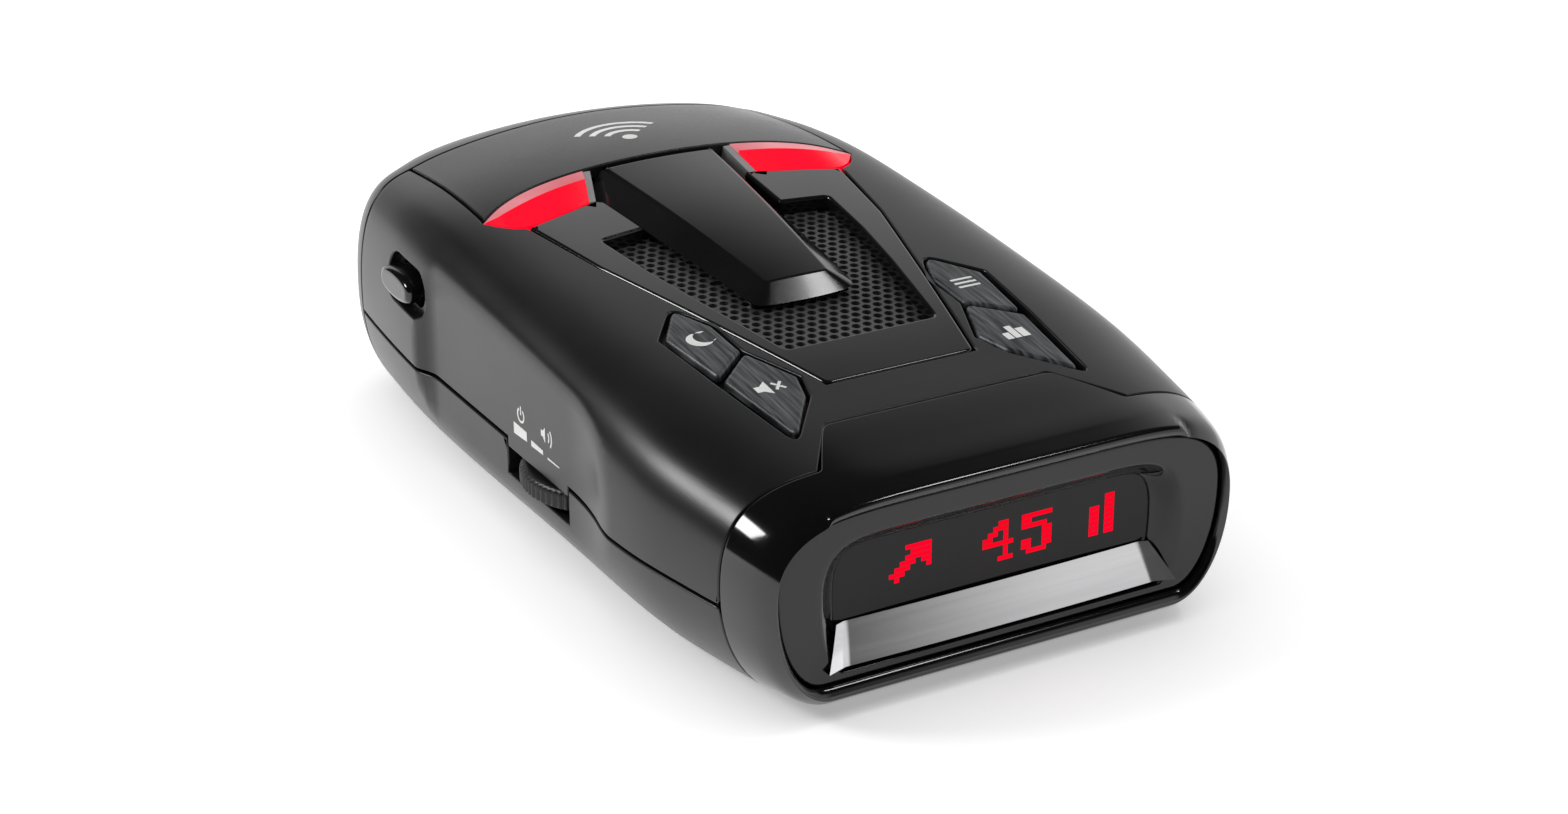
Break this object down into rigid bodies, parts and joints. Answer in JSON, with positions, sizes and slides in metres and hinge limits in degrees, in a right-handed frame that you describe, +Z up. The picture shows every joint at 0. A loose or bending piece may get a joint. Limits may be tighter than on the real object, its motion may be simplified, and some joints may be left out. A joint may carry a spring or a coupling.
{
  "type": "radar detector",
  "caption": "Black wedge-shaped dashboard radar detector with display window, perforated speaker grille, red alert lenses, top buttons and side thumbwheel.",
  "frame": {"origin": "centre of the bounding box, on the bottom face", "axes": "+Z up, -Y the display end that faces the driver, +Y the windshield end, -X the side with the thumbwheel and release button"},
  "size_m": [0.0704, 0.115, 0.0358],
  "materials": {
    "housing_black": "satin, fine moulded grain",
    "panel_grey": "satin grey-black lacquer",
    "gloss_black": "high gloss moulded",
    "trim_black": "semi-gloss moulded",
    "grille_grey": "perforated sheet, satin",
    "lens_red": "red diffusing lens, lit",
    "cheek_grey": "pale translucent light guide",
    "window_smoke": "smoked polished window",
    "sill_silver": "brushed plated trim",
    "button_grey": "dark grey, diagonal hairline print",
    "wheel_rubber": "knurled satin",
    "display_glass": "dot display panel",
    "board_green": "solder mask",
    "steel": "plated steel",
    "cast_metal": "die cast, as cast",
    "parts_black": "moulded component body",
    "lens_clear": "dark red optical plastic",
    "cone_paper": "treated paper cone",
    "led_white": "encapsulated",
    "flex_white": "flat flexible cable"
  },
  "bodies": {
    "case": {"upper_housing": "housing_black", "lower_housing": "housing_black", "front_cover": "housing_black", "front_top_panel": "panel_grey", "centre_spine": "trim_black", "grille_trim": "trim_black", "speaker_grille": "grille_grey", "alert_lens_left": "lens_red", "alert_lens_right": "lens_red", "lens_cheek_left": "cheek_grey", "lens_cheek_right": "cheek_grey", "rear_bezel": "gloss_black", "display_insert": "gloss_black", "display_window": "window_smoke", "sill_trim": "sill_silver", "display_module": "display_glass", "display_board": "board_green", "ribbon_cable": "flex_white", "key_board": "board_green", "key_switches": "steel", "volume_control": "steel", "main_board": "board_green", "shield_can": "steel", "horn_antenna": "cast_metal", "board_chips": "parts_black", "heading_sensor": "parts_black", "laser_sensor": "parts_black", "laser_lens": "lens_clear", "speaker": "cone_paper", "light_board": "board_green", "alert_leds": "led_white", "power_jack": "parts_black", "data_jack": "steel", "case_screws": "steel", "board_screws": "steel", "release_spring": "steel", "bracket_socket": "parts_black"},
    "wheel": {"thumbwheel": "wheel_rubber"},
    "dim_key": {"button_dim": "button_grey"},
    "mute_key": {"button_mute": "button_grey"},
    "menu_key": {"button_menu": "button_grey"},
    "city_key": {"button_city": "button_grey"},
    "release": {"release_button": "gloss_black", "release_latch": "parts_black"}
  },
  "joints": [
    {"name": "wheel_turn", "type": "hinge", "parent": "case", "child": "wheel", "pos_m": [-0.0242, -0.0076, 0.01], "axis": [0, 0, 1], "range_deg": [-130, 130]},
    {"name": "dim_press", "type": "slide", "parent": "case", "child": "dim_key", "axis": [0, 0, -1], "range_m": [0, 0.0006], "stiffness_N_per_m": 1200},
    {"name": "mute_press", "type": "slide", "parent": "case", "child": "mute_key", "axis": [0, 0, -1], "range_m": [0, 0.0006], "stiffness_N_per_m": 1200},
    {"name": "menu_press", "type": "slide", "parent": "case", "child": "menu_key", "axis": [0, 0, -1], "range_m": [0, 0.0006], "stiffness_N_per_m": 1200},
    {"name": "city_press", "type": "slide", "parent": "case", "child": "city_key", "axis": [0, 0, -1], "range_m": [0, 0.0006], "stiffness_N_per_m": 1200},
    {"name": "release_press", "type": "slide", "parent": "case", "child": "release", "axis": [1, 0, 0], "range_m": [0, 0.0016], "stiffness_N_per_m": 900, "deforming": ["release_spring"]}
  ]
}
